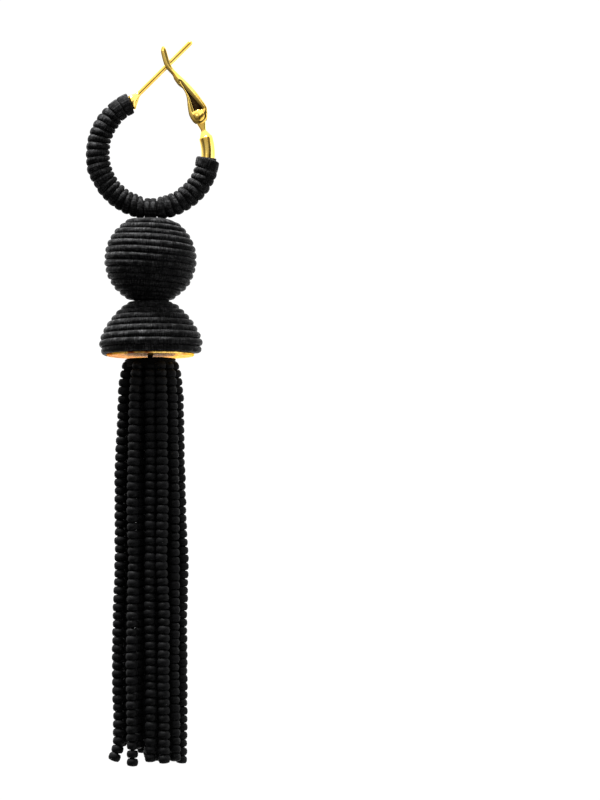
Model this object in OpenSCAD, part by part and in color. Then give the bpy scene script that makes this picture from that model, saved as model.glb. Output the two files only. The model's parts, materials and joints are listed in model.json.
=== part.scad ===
// Tassel earring: a cord-wound gold hoop with a hinged lever, and a drop of a wound ball,
// a wound dome on a gold plate and a tassel of seed beads.
// The origin is on the ear post where the ear hangs it. X runs across the hoop towards its
// hinge, Y through the hoop away from its front, Z up. Millimetres.

/* [Hoop] */
// Radius of the hoop, from its centre to the middle of its tube
hoop_r = 9.55; // [8:0.05:14]
// Diameter of the gold tube
tube_d = 2.4; // [1.8:0.05:2.8]
// Angle on the hoop where the tube's front end carries the post
front_end = 112; // [104:1:120]
// Angle on the hoop where the tube's rear end closes towards the hinge
rear_end = 17; // [10:1:24]

/* [Ear post] */
// Diameter of the ear post
post_d = 0.86; // [0.7:0.02:1]
// Slope of the post above the horizontal
post_slope = 45; // [40:1:50]
// Length of the post from the hanging point to its tip
post_reach = 9.5; // [7.5:0.1:11]
// Diameter of the collar that closes the tube's front end
collar_d = 2.7; // [2.5:0.05:3]
// Length of the collar, from the tube's end to the foot of the post
collar_l = 1.5; // [1.2:0.1:2]
// Slope of that length above the horizontal
collar_slope = 53; // [45:1:60]

/* [Hinge] */
// Length of the closing cone at the tube's rear end
neck_cone_l = 1.3; // [0.7:0.1:1.6]
// Width of the tongue at its neck
neck_w = 0.84; // [0.7:0.02:1]
// Distance from the tube's rear end to the rivet
tongue_reach = 3.85; // [3.4:0.05:4.4]
// Thickness of the tongue
tongue_t = 1; // [0.8:0.05:1.2]
// Radius of the tongue's round end
tongue_r = 1.1; // [0.9:0.05:1.3]
// Diameter of the rivet's shank
rivet_d = 0.8; // [0.6:0.05:0.9]
// Diameter of the rivet's heads
rivet_head_d = 1.9; // [1.5:0.05:2.2]
// Height of each rivet head
rivet_head_h = 0.26; // [0.16:0.02:0.36]

/* [Lever] */
// Distance along the post from the hanging point to where the lever catches it
catch_at = 3.46; // [2.6:0.02:4]
// Thickness of the folded sheet
sheet_t = 0.36; // [0.28:0.02:0.44]
// Width of the lever at its shoulder
lever_w = 3.4; // [3:0.05:3.8]
// Radius of the round eyes over the rivet
eye_r = 1.4; // [1.3:0.05:1.7]

/* [Winding] */
// Thickness of the cord layer on the tube
cord_t = 0.68; // [0.5:0.02:0.8]
// Depth of the groove between two turns
groove = 0.2; // [0.1:0.02:0.26]
// Number of turns from the front end band to the hanger
front_turns = 18; // [12:1:24]
// Number of turns from the hanger to the rear end band
rear_turns = 9; // [6:1:14]
// Angle on the hoop that each smooth end band covers
band_angle = 10; // [8:1:12]
// Angle on the hoop from the tube's front end to the winding
bare_front = 1.5; // [1:0.1:6]
// Angle on the hoop from the tube's rear end to the winding
bare_rear = 21; // [14:1:30]

/* [Drop] */
// Sideways place of the drop, from the hoop's middle
drop_side = -0.34; // [-0.6:0.02:0.6]
// Width of the cord-bound loop that hangs the drop
loop_w = 2; // [1.4:0.1:2.4]
// Diameter of the pin through the drop
pin_d = 0.9; // [0.7:0.05:1.2]
// Radius of the wound ball
ball_r = 7.83; // [6.5:0.05:9]
// Radius of the ball's flat top
ball_top_r = 3.9; // [2.5:0.05:5]
// Radius of the ball's flat underside
ball_foot_r = 3; // [2.5:0.05:5]
// Number of cord turns from the ball's top to its underside
ball_turns = 14; // [10:1:18]
// Tilt of the ball's turns
ball_tilt = 4.5; // [0:0.5:6]
// Radius of the dome at its widest
dome_r = 8.8; // [7.5:0.05:10]
// Height of the dome
dome_h = 8.7; // [7:0.1:10]
// How straight the dome's flank is: 1 gives an ellipse, more comes closer to a cone
dome_flank = 1.33; // [1:0.01:1.5]
// Number of cord turns from the dome's top to its rim
dome_turns = 8; // [6:1:11]
// Depth of the grooves between the ball's and the dome's turns
cord_relief = 0.36; // [0.2:0.02:0.5]
// Radius of the gold base plate
plate_r = 7.55; // [6:0.05:7.6]
// Thickness of the gold base plate
plate_t = 0.5; // [0.35:0.05:0.8]

/* [Tassel] */
// Length of the tassel below the plate
tassel_l = 70.4; // [45:0.1:90]
// Radius of the ring that the outer strands hang in
tassel_r = 5.45; // [4.4:0.05:5.8]
// Radius of the tied head under the plate
head_r = 4.3; // [3.6:0.05:4.6]
// Height of the tied head
head_h = 1.6; // [1.2:0.1:2.4]
// Diameter of a strand of beads
strand_d = 1.9; // [1.6:0.05:1.95]

/* [Clearances] */
// Gap between flat faces that slide or lie on each other
flat_gap = 0.05; // [0.04:0.01:0.06]
// Radial gap of the lever's eyes round the rivet
eye_gap = 0.04; // [0.03:0.01:0.06]
// Radial gap of the rivet in the tongue
rivet_gap = 0.01; // [0.01:0.01:0.02]
// Gap between the lever's fork and the post
fork_gap = 0.12; // [0.1:0.01:0.16]
// Radial gap between the cord and the tube inside it
cord_gap = 0.05; // [0.04:0.01:0.08]
// Radial gap between the hanger's loop and the tube
loop_gap = 0.16; // [0.14:0.01:0.2]
// Gap between the hanger's loop and the winding beside it, and above the ball
hang_gap = 0.14; // [0.12:0.01:0.2]
// Gap between pieces threaded on the pin
stack_gap = 0.1; // [0.06:0.01:0.15]
// Radial gap between the pin and what it threads
pin_gap = 0.06; // [0.04:0.01:0.1]

/* [Hidden] */
$fn = 64;
gold = "goldenrod";
black = [0.09, 0.09, 0.1];
bead_black = [0.05, 0.05, 0.06];

// Hoop, post and hinge. The drop from the hanging point to the hoop's centre follows from
// the collar and the sloping post, which passes through the origin.
tube_r = tube_d / 2;
post_r = post_d / 2;
collar = collar_l * [cos(collar_slope), sin(collar_slope)];
post_foot_x = hoop_r * cos(front_end) + collar[0];
post_foot_up = hoop_r * sin(front_end) + collar[1];
hoop_drop = post_foot_up - post_foot_x * tan(post_slope);
post_foot = [post_foot_x, post_foot_up - hoop_drop];
front_tangent = front_end - 90;
// Thickness of the collar's round rim, and how far its tip stands proud of the post
collar_rim = 0.25;
collar_tip = 0.08;
// How far soldered pieces run into each other, and the angle that it takes on the hoop
seam = 0.05;
seam_angle = asin(seam / hoop_r);
rear_tangent = rear_end + 90;
rear_point = hoop_point(rear_end);
hinge_point = rear_point + tongue_reach * direction(rear_tangent);
// Where the neck's edges run into the tongue's round end: distance from the tube, half width
tongue_shoulder = [tongue_reach - tongue_r / 2, tongue_r * 0.85];

// Lever. It lies in a frame of its own: along from the rivet to the catch, and across. Its
// tables give places across as shares of its width, below 0 towards the hoop's inside.
catch_point = catch_at * direction(post_slope);
lever_reach = norm(catch_point - hinge_point);
lever_angle = atan2(catch_point[1] - hinge_point[1], catch_point[0] - hinge_point[0]);
fork_w = max(tongue_t + 2 * flat_gap, post_d + 2 * fork_gap);
cheek_y = (fork_w + sheet_t) / 2;
// Where the spine starts, clear of the tongue's neck when the lever swings open, and where it
// stops short of the post
spine_start = tongue_r / 2;
spine_end = lever_reach - (post_r + fork_gap) / abs(sin(lever_angle - post_slope));

// Outline of a cheek: share of the lever's reach, then its inner and outer edge. The rows
// past 1 are the finger tab, which bends outwards.
CHEEK = [
    [-0.04, -0.35, 0.42],
    [0.01, -0.4, 0.5],
    [0.06, -0.41, 0.56],
    [0.14, -0.36, 0.57],
    [0.25, -0.21, 0.555],
    [0.36, -0.04, 0.525],
    [0.46, 0.05, 0.48],
    [0.55, 0.06, 0.425],
    [0.63, -0.03, 0.37],
    [0.75, -0.05, 0.275],
    [0.82, -0.01, 0.225],
    [0.9, -0.05, 0.185],
    [1, -0.09, 0.2],
    [1.1, -0.03, 0.28],
    [1.22, 0.09, 0.39],
    [1.27, 0.17, 0.41],
    [1.31, 0.3, 0.38]
];
// Long opening in the near cheek: share of the reach, then its inner and outer edge
WINDOW = [
    [0.06, -0.1, 0.38],
    [0.13, -0.08, 0.35],
    [0.22, -0.01, 0.3],
    [0.35, 0.085, 0.235],
    [0.5, 0.12, 0.175],
    [0.62, 0.12, 0.155],
    [0.75, 0.11, 0.125]
];
// Width of the near cheek left between that opening and the rivet's head
eye_rim = 0.12;
cheek_steps = 4;

// Winding. It leaves the middle of the hoop's lowest stretch to the hanger's loop.
wound_r = tube_r + cord_t;
swing_z = hoop_point(270 + asin(drop_side / hoop_r))[1];
loop_edge = loop_w / 2 + hang_gap;
front_wound_from = front_end + bare_front;
front_wound_to = 270 + asin((drop_side - loop_edge) / hoop_r);
rear_wound_from = 270 + asin((drop_side + loop_edge) / hoop_r);
rear_wound_to = 360 + rear_end - bare_rear;
// The single band at the rear end is a little wider than the two at the front
rear_band_angle = 1.2 * band_angle;
// Angle over which the turns' planes become upright beside the hanger's loop
upright_span = 24;
// Each turn in shares of its width, and the share of the groove's depth there
TURN = [
    [0, 1],
    [0.2, 0.2],
    [0.5, 0],
    [0.8, 0.2]
];
// A smooth end band, in the same way
BAND = [
    [0, 0.6],
    [0.12, 0],
    [0.5, -0.2],
    [0.88, 0]
];
winding_sides = 16;

// Drop
loop_r = tube_r + loop_gap;
ball_up = sqrt(pow(ball_r, 2) - pow(ball_top_r, 2));
ball_down = sqrt(pow(ball_r, 2) - pow(ball_foot_r, 2));
ball_top = swing_z - wound_r - hang_gap;
ball_z = ball_top - ball_up;
dome_top = ball_z - ball_down - stack_gap;
dome_rim = dome_top - dome_h;
plate_top = dome_rim - stack_gap / 2;
plate_bottom = plate_top - plate_t;
head_top = plate_bottom - stack_gap / 2;
// The pin ends inside the tassel's head
pin_end = head_top - 0.6 * head_h;
pin_hole_r = pin_d / 2 + pin_gap;
// Angles from the middle of the dome's curve to its flat top and to its rim
dome_curve_top = 57;
dome_curve_rim = -16;
// Steps along a ball's or dome's curve, and in each of its turns
curve_steps = 48;
turn_steps = 4;

// Tassel. How the strands spread: share of the length from the plate down, then the share
// of the ring's radius and of a strand's diameter there.
SPREAD = [
    [0.014, 0.62, 0.72],
    [0.045, 0.76, 0.86],
    [0.1, 0.85, 0.93],
    [0.3, 0.94, 1],
    [0.72, 1, 1],
    [1, 0.97, 1]
];
// Strands: turn round the tassel, reach as a share of the ring's radius, length as a share
// of the tassel's
STRANDS = [
    [190, 1, 0.981],
    [238, 0.99, 1],
    [272, 0.96, 0.983],
    [297, 0.98, 0.985],
    [325, 0.97, 0.978],
    [352, 1.04, 0.984],
    [20, 1, 0.99],
    [47, 0.98, 0.976],
    [74, 1, 0.988],
    [101, 0.98, 0.982],
    [128, 1.01, 0.992],
    [158, 0.99, 0.979],
    [270, 0.48, 0.976],
    [330, 0.48, 0.98],
    [30, 0.48, 0.975],
    [90, 0.48, 0.982],
    [150, 0.48, 0.978],
    [210, 0.5, 0.985],
    [0, 0, 0.98]
];
strand_sides = 10;

// Unit vector at an angle in the hoop's plane, as [x, z]
function direction(a) = [cos(a), sin(a)];

// Point of the hoop's middle line at an angle, as [x, z]
function hoop_point(a) = hoop_r * direction(a) - [0, hoop_drop];

// A smooth run of points through control points, by cubic spans
function span_point(p, i, t) =
    let (
        last = len(p) - 1,
        a = p[max(i - 1, 0)],
        b = p[i],
        c = p[min(i + 1, last)],
        d = p[min(i + 2, last)]
    )
    0.5 * (2 * b + (c - a) * t + (2 * a - 5 * b + 4 * c - d) * t * t
        + (3 * b - a - 3 * c + d) * t * t * t);

function smooth(p, steps) = concat(
    [for (i = [0 : len(p) - 2]) for (k = [0 : steps - 1]) span_point(p, i, k / steps)],
    [p[len(p) - 1]]
);

// Edge of a table of rows [share along, inner share, outer share], in the lever's frame
function edge(rows, column) = smooth(
    [for (r = rows) [r[0] * lever_reach, -r[column] * lever_w]], cheek_steps
);

function reversed(p) = [for (i = [len(p) - 1 : -1 : 0]) p[i]];

// Share of the groove's depth, from the share of a round turn of cord
function groove_share(s) = 1 - sqrt(max(0, 1 - pow(2 * s - 1, 2)));

// Plane of the section at an angle of the hoop: it turns upright beside the loop
function plane_angle(a) =
    let (
        away = max(front_wound_to - a, a - rear_wound_from),
        share = max(0, 1 - away / upright_span)
    )
    a + (270 - a) * share * share;

// One ring of points round the tube
function section(a, r) =
    let (
        c = hoop_point(a),
        out = direction(plane_angle(a))
    )
    [for (j = [0 : winding_sides - 1])
        let (b = 360 * (j + 0.5) / winding_sides)
        [c[0] + r * cos(b) * out[0], r * sin(b), c[1] + r * cos(b) * out[1]]];

// Rings of one turn or band between two angles
function turn_rings(from, to, profile) = [
    for (p = profile) section(from + (to - from) * p[0], wound_r - groove * p[1])
];

function flatten(l) = [for (a = l) for (b = a) b];

// Lays a flat outline into the hoop's plane, centred on Y, with a width along Y
module in_plane(w) {
    rotate([90, 0, 0])
        linear_extrude(w, center = true)
            children();
}

// Puts a flat outline of the lever's frame into the hoop's plane
module at_hinge() {
    translate(hinge_point)
        rotate(lever_angle)
            children();
}

// Puts a solid that stands on Z at a point of the hoop's plane, along a direction there
module along(point, angle) {
    translate([point[0], 0, point[1]])
        rotate([0, 90 - angle, 0])
            children();
}

// Rod that stands on Z and has a round tip
module round_ended(r, l) {
    rotate_extrude()
        polygon(concat(
            [[0, 0], [r, 0]],
            [for (a = [0 : 15 : 90]) [r * cos(a), l - r + r * sin(a)]]
        ));
}

// Places a piece of the drop under the loop, at a height
module at_drop(z) {
    translate([drop_side, 0, z])
        children();
}

module hoop_frame() {
    color(gold) {
        rotate([90, 0, 0])
            translate([0, -hoop_drop, 0])
                rotate(front_end)
                    rotate_extrude(angle = 360 - front_end + rear_end + seam_angle)
                        translate([hoop_r, 0])
                            circle(tube_r);
        hull() {
            along(hoop_point(front_end), front_tangent)
                translate([0, 0, -seam])
                    cylinder(h = collar_rim + seam, r = collar_d / 2, $fn = 32);
            along(post_foot, post_slope)
                sphere(post_r + collar_tip, $fn = 32);
        }
        along(post_foot, post_slope)
            round_ended(post_r, norm(post_foot) + post_reach);
        along(rear_point, rear_tangent)
            cylinder(h = neck_cone_l, r1 = tube_r - seam, r2 = neck_w / 2);
        difference() {
            in_plane(tongue_t) {
                translate(hinge_point)
                    circle(tongue_r);
                translate(rear_point)
                    rotate(rear_tangent)
                        polygon([
                            [neck_cone_l / 2, -neck_w / 2],
                            [neck_cone_l, -neck_w / 2],
                            [tongue_shoulder[0], -tongue_shoulder[1]],
                            tongue_shoulder,
                            [neck_cone_l, neck_w / 2],
                            [neck_cone_l / 2, neck_w / 2]
                        ]);
            }
            hinge_hole(rivet_gap);
        }
    }
}

// Hole for the rivet, right through the hinge
module hinge_hole(gap) {
    translate([hinge_point[0], 0, hinge_point[1]])
        rotate([90, 0, 0])
            cylinder(h = 3 * fork_w + 4 * sheet_t, r = rivet_d / 2 + gap, center = true);
}

// Low dome that stands on Z
module low_dome(r, h) {
    bend_r = (r * r + h * h) / (2 * h);
    span = asin(r / bend_r);
    rotate_extrude()
        polygon(concat(
            [[0, 0]],
            [for (k = [8 : -1 : 0])
                let (a = span * k / 8)
                [bend_r * sin(a), h - bend_r * (1 - cos(a))]]
        ));
}

module hinge_rivet() {
    head_y = cheek_y + sheet_t / 2 + flat_gap / 2;
    color(gold)
        translate([hinge_point[0], 0, hinge_point[1]])
            rotate([90, 0, 0]) {
                cylinder(h = 2 * head_y, r = rivet_d / 2, center = true);
                for (side = [0, 1])
                    mirror([0, 0, side])
                        translate([0, 0, head_y])
                            low_dome(rivet_head_d / 2, rivet_head_h);
            }
}

// Outline of a cheek with its round eye
module cheek_outline() {
    circle(eye_r);
    polygon(concat(edge(CHEEK, 2), reversed(edge(CHEEK, 1))));
}

module latch_lever() {
    spine = [for (p = edge(CHEEK, 2)) if (p[0] > spine_start && p[0] < spine_end) p];
    spine_tip = [spine_end, spine[len(spine) - 1][1]];
    outer = concat(spine, [spine_tip]);
    color(gold)
        difference() {
            union() {
                for (side = [-1, 1])
                    translate([0, side * cheek_y, 0])
                        in_plane(sheet_t)
                            at_hinge()
                                cheek_outline();
                in_plane(fork_w + sheet_t)
                    at_hinge()
                        polygon(concat(outer, reversed([for (p = outer) p + [0, sheet_t]])));
            }
            hinge_hole(eye_gap);
            translate([0, -cheek_y, 0])
                in_plane(2 * sheet_t)
                    at_hinge()
                        difference() {
                            polygon(concat(edge(WINDOW, 2), reversed(edge(WINDOW, 1))));
                            circle(rivet_head_d / 2 + eye_rim);
                        }
        }
}

// Sleeve of wound cord round the tube, from rings of points outside and inside
module winding(turns) {
    outer = flatten([for (t = turns) turn_rings(t[0], t[1], t[2])]);
    from = turns[0][0];
    to = turns[len(turns) - 1][1];
    inner_r = (tube_r + cord_gap) / cos(180 / winding_sides);
    rings = concat(
        outer,
        [section(to, wound_r - groove)],
        [for (i = [len(turns) - 1 : -1 : 0]) section(turns[i][1], inner_r)],
        [section(from, inner_r)]
    );
    n = winding_sides;
    m = len(rings);
    polyhedron(
        points = flatten(rings),
        faces = flatten([
            for (i = [0 : m - 1]) for (j = [0 : n - 1])
                let (
                    next_i = (i + 1) % m,
                    next_j = (j + 1) % n,
                    a = i * n + j,
                    b = next_i * n + j,
                    c = next_i * n + next_j,
                    d = i * n + next_j
                )
                [[a, b, c], [a, c, d]]
        ])
    );
}

module hoop_winding_front() {
    turns_from = front_wound_from + 2 * band_angle;
    step = (front_wound_to - turns_from) / front_turns;
    color(black)
        winding(concat(
            [for (i = [0, 1])
                [front_wound_from + i * band_angle, front_wound_from + (i + 1) * band_angle, BAND]],
            [for (i = [0 : front_turns - 1])
                [turns_from + i * step, turns_from + (i + 1) * step, TURN]]
        ));
}

module hoop_winding_rear() {
    band_from = rear_wound_to - rear_band_angle;
    step = (band_from - rear_wound_from) / rear_turns;
    color(black)
        winding(concat(
            [for (i = [0 : rear_turns - 1])
                [rear_wound_from + i * step, rear_wound_from + (i + 1) * step, TURN]],
            [[band_from, rear_wound_to, BAND]]
        ));
}

// Loop of two cord-bound turns, which swings round the tube, and the pin below it
module hanger() {
    half = loop_w / 2;
    lobes = [
        for (side = [-1, 1]) for (k = [0 : 6])
            [side * half / 2 - half / 2 * cos(180 * k / 6), wound_r - groove + groove * sin(180 * k / 6)]
    ];
    color(black)
        at_drop(swing_z) {
            rotate([0, 90, 0])
                rotate_extrude()
                    polygon(concat(
                        [[loop_r, -half]],
                        [for (p = lobes) [p[1], p[0]]],
                        [[loop_r, half]]
                    ));
            difference() {
                translate([0, 0, pin_end - swing_z])
                    cylinder(h = swing_z - pin_end, r = pin_d / 2);
                rotate([0, 90, 0])
                    cylinder(h = 2 * loop_w, r = loop_r, center = true);
            }
        }
}

// Hole for the pin through the drop
module pin_hole() {
    at_drop(pin_end)
        cylinder(h = swing_z - pin_end, r = pin_hole_r);
}

// Curve from one angle to another round a middle, as [across, up]. With a flank of 1 it is
// an arc of an ellipse, and a larger one straightens it.
function round_curve(across, up, from, to, flank) = [
    for (i = [0 : curve_steps])
        let (a = from + (to - from) * i / curve_steps)
        [across * pow(cos(a), flank), up * sign(a) * pow(abs(sin(a)), flank)]
];

// Length along a curve up to each of its points
function run(curve) = [
    for (i = 0, l = 0; i < len(curve); i = i + 1,
            l = l + (i < len(curve) ? norm(curve[i] - curve[i - 1]) : 0))
        l
];

// Half outline of a form wound with cord, with a groove between turns of the same width
function wound_outline(curve, turns) =
    let (
        l = run(curve),
        total = l[len(l) - 1],
        across = [for (i = [0 : curve_steps]) [l[i], curve[i][0]]],
        up = [for (i = [0 : curve_steps]) [l[i], curve[i][1]]],
        near = total / curve_steps
    )
    [for (i = [0 : turns - 1]) for (k = [0 : turn_steps - 1])
        let (
            s = total * (i + k / turn_steps) / turns,
            p = [lookup(s, across), lookup(s, up)],
            ahead = [lookup(s + near, across), lookup(s + near, up)],
            back = [lookup(s - near, across), lookup(s - near, up)],
            along_curve = (ahead - back) / norm(ahead - back)
        )
        p + cord_relief * groove_share(k / turn_steps) * [along_curve[1], -along_curve[0]]];

module wound_ball() {
    // Turns that run on under the flats, so that the tilted turns still fill them
    top_angle = asin(ball_up / ball_r) + ball_tilt;
    low_angle = -asin(ball_down / ball_r) - ball_tilt;
    curve = round_curve(ball_r, ball_r, top_angle, low_angle, 1);
    outline = wound_outline(curve, ball_turns + 1);
    color(black)
        difference() {
            at_drop(ball_z)
                intersection() {
                    rotate([0, ball_tilt, 0])
                        rotate_extrude()
                            polygon(concat(
                                [[0, outline[0][1]]],
                                outline,
                                [[0, outline[len(outline) - 1][1]]]
                            ));
                    translate([0, 0, -ball_down])
                        cylinder(h = ball_up + ball_down, r = 2 * ball_r);
                }
            pin_hole();
        }
}

module wound_dome() {
    // Height of the curve, from the dome's height between its flat top and its rim
    top_share = pow(sin(dome_curve_top), dome_flank);
    up = dome_h / (top_share + pow(-sin(dome_curve_rim), dome_flank));
    middle = dome_top - up * top_share;
    curve = round_curve(dome_r, up, dome_curve_top, dome_curve_rim, dome_flank);
    rim = curve[curve_steps];
    color(black)
        difference() {
            at_drop(middle)
                rotate_extrude()
                    polygon(concat(
                        [[0, dome_top - middle]],
                        wound_outline(curve, dome_turns),
                        [[rim[0] - cord_relief, rim[1]]],
                        [[0, rim[1]]]
                    ));
            pin_hole();
        }
}

module base_plate() {
    edge_r = plate_t / 2;
    color(gold)
        difference() {
            at_drop(plate_bottom)
                rotate_extrude() {
                    square([plate_r - edge_r, plate_t]);
                    translate([plate_r - edge_r, edge_r])
                        circle(edge_r);
                }
            pin_hole();
        }
}

// Ring of points of a strand at a row of the spread
function strand_ring(strand, row) =
    let (
        out = tassel_r * strand[1] * row[1],
        down = tassel_l * (row[0] < 1 ? row[0] : strand[2]),
        r = strand_d / 2 * row[2]
    )
    [for (j = [0 : strand_sides - 1])
        let (b = 360 * j / strand_sides)
        [out * cos(strand[0]) + r * cos(b), out * sin(strand[0]) + r * sin(b), -down]];

// One strand: a solid through its rings, from the head down
module strand_lock(strand) {
    n = strand_sides;
    last = (len(SPREAD) - 1) * n;
    polyhedron(
        points = flatten([for (row = SPREAD) strand_ring(strand, row)]),
        faces = concat(
            [[for (j = [n - 1 : -1 : 0]) j], [for (j = [0 : n - 1]) last + j]],
            [for (i = [0 : len(SPREAD) - 2]) for (j = [0 : n - 1])
                let (k = (j + 1) % n)
                [i * n + j, i * n + k, (i + 1) * n + k, (i + 1) * n + j]]
        )
    );
}

module bead_tassel() {
    color(bead_black)
        difference() {
            at_drop(head_top) {
                translate([0, 0, -head_h])
                    cylinder(h = head_h, r = head_r);
                for (strand = STRANDS)
                    strand_lock(strand);
            }
            pin_hole();
        }
}

hoop_frame();
hinge_rivet();
latch_lever();
hoop_winding_front();
hoop_winding_rear();
hanger();
wound_ball();
wound_dome();
base_plate();
bead_tassel();
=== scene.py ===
# Tassel earring: a cord-wound gold hoop with a hinged lever, over a wound ball, a wound dome on
# a gold plate and a tassel of seed beads. Metres. The origin is on the ear post, X runs across
# the hoop towards its hinge, Y away from the front and Z up.
import json
import math

import bmesh
import bpy
import numpy as np
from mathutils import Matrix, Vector
from mathutils.kdtree import KDTree


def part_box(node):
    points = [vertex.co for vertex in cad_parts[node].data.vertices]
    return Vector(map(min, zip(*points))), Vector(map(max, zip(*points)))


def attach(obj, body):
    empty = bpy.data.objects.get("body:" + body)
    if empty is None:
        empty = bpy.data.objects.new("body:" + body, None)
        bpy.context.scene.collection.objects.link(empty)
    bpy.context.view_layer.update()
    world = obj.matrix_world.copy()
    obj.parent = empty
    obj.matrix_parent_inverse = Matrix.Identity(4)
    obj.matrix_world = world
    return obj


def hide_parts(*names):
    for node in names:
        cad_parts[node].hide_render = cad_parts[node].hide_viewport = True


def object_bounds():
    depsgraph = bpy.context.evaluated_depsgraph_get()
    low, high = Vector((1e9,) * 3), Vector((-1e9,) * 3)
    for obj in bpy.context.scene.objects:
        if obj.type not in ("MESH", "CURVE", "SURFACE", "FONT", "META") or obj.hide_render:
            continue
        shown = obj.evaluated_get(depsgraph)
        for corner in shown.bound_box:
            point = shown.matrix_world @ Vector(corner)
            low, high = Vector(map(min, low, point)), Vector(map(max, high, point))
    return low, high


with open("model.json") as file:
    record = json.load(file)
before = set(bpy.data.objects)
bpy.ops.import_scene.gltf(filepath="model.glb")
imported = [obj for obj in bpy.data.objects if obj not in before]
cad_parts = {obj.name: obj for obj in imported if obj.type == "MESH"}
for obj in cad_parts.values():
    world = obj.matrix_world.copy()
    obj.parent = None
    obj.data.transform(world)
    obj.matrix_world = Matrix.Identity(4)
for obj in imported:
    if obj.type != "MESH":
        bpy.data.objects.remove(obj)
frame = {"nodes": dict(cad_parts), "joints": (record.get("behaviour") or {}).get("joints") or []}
cad_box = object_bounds()

# Camera: one metre from the earring, well above the floor and looking a little up, so that the
# underside of the gold plate just shows. The long lens keeps the lines nearly parallel.
PICTURE_W, PICTURE_H = 600, 800
# The ear post's place in the picture, in pixels, and the size of a pixel at the earring
POST_PX = (152.5, 79.0)
PX = 0.172e-3
SENSOR_MM = 36
VIEW_DISTANCE = 1.0
LOOK_UP = math.radians(3.66)
aim = Vector(((PICTURE_W / 2 - POST_PX[0]) * PX, 0, (POST_PX[1] - PICTURE_H / 2) * PX))
lens = bpy.data.cameras.new("long_lens")
lens.sensor_width = SENSOR_MM
lens.lens = SENSOR_MM * VIEW_DISTANCE / (PICTURE_H * PX * math.cos(LOOK_UP))
camera = bpy.data.objects.new("camera", lens)
camera.location = aim - VIEW_DISTANCE * Vector((0, math.cos(LOOK_UP), math.sin(LOOK_UP)))
camera.rotation_euler = (math.pi / 2 + LOOK_UP, 0, 0)
bpy.context.scene.collection.objects.link(camera)
bpy.context.scene.camera = camera
bpy.context.scene.view_settings.view_transform = "Standard"


# Studio: a small pale floor well below the hanging earring and a white tent all round it,
# brightest overhead. A dark opening where the view comes in, a dimmer front wall and two dark
# flags draw the lines on the gold.
def add(tree, kind, inputs=None, **settings):
    made = tree.nodes.new(kind)
    for name, value in settings.items():
        setattr(made, name, value)
    for name, value in (inputs or {}).items():
        if isinstance(value, bpy.types.NodeSocket):
            tree.links.new(value, made.inputs[name])
        else:
            made.inputs[name].default_value = value
    return made


def math_node(tree, operation, *values):
    return add(tree, "ShaderNodeMath", dict(enumerate(values)), operation=operation).outputs[0]


def soft_step(tree, value, low, high, at_low=0.0, at_high=1.0):
    inputs = {"Value": value, "From Min": low, "From Max": high, "To Min": at_low, "To Max": at_high}
    return add(tree, "ShaderNodeMapRange", inputs, interpolation_type="SMOOTHSTEP").outputs[0]


def closeness(tree, direction, towards):
    inputs = {0: direction, 1: Vector(towards).normalized()}
    return add(tree, "ShaderNodeVectorMath", inputs, operation="DOT_PRODUCT").outputs["Value"]


def full_turn(count):
    """Angles that share a full turn out evenly."""
    return np.linspace(0, math.tau, count + 1)[:-1]


world = bpy.data.worlds.new("white_tent")
bpy.context.scene.world = world
world.use_nodes = True
tent = world.node_tree
tent.nodes.clear()
around = add(tent, "ShaderNodeTexCoord").outputs["Generated"]
light_left = 1.0
# Each dark place: its direction, the cosines where it starts and is full, and what it leaves
DARK_PLACES = {
    "opening": ((0.33, -0.91, -0.24), 0.857, 0.94, 0.12),
    "right_flag": ((0.67, -0.72, 0.14), 0.883, 0.94, 0.1),
    "front_wall": ((-0.6, -1, 0), 0.64, 0.9, 0.42),
    "left_flag": ((-0.9, -0.44, -0.05), 0.91, 0.98, 0.25),
}
for towards, outer, inner, share in DARK_PLACES.values():
    kept = soft_step(tent, closeness(tent, around, towards), outer, inner, 1, share)
    light_left = math_node(tent, "MULTIPLY", light_left, kept)
# The tent's light grows between two heights on it, where its foot is at -1 and its top at 1
TENT_RISE = (-0.55, 0.45)
TENT_LIGHT = (0.2, 2.0)
upward = add(tent, "ShaderNodeSeparateXYZ", {0: around}).outputs["Z"]
overhead = soft_step(tent, upward, *TENT_RISE, *TENT_LIGHT)
tent_light = math_node(tent, "MULTIPLY", light_left, overhead)
# White cards brighten the gold's lower edges and the plate. Each card: its direction, the
# cosines where it starts and is full, and the light that it adds
WHITE_CARDS = {
    "low_right": ((0.75, -0.3, -0.6), 0.64, 0.87, 1.3),
    "behind": ((0, 1, -0.2), 0.75, 0.93, 1.6),
}
for towards, outer, inner, light in WHITE_CARDS.values():
    card = soft_step(tent, closeness(tent, around, towards), outer, inner, 0, light)
    tent_light = math_node(tent, "ADD", tent_light, card)
# Matt surfaces get a small share of the light that polished ones mirror, and the camera sees
# plain white behind the earring
MATT_SHARE = 0.03
BACKDROP = 1.05
rays = add(tent, "ShaderNodeLightPath").outputs
soft_light = math_node(tent, "MULTIPLY", tent_light, MATT_SHARE)
mirrored = add(tent, "ShaderNodeMix", {0: rays["Is Diffuse Ray"], 2: tent_light, 3: soft_light},
    data_type="FLOAT").outputs[0]
glow = add(tent, "ShaderNodeMix", {0: rays["Is Camera Ray"], 2: mirrored, 3: BACKDROP},
    data_type="FLOAT").outputs[0]
lit = add(tent, "ShaderNodeBackground", {"Color": (1, 1, 1, 1), "Strength": glow})
add(tent, "ShaderNodeOutputWorld", {"Surface": lit.outputs[0]})

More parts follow.
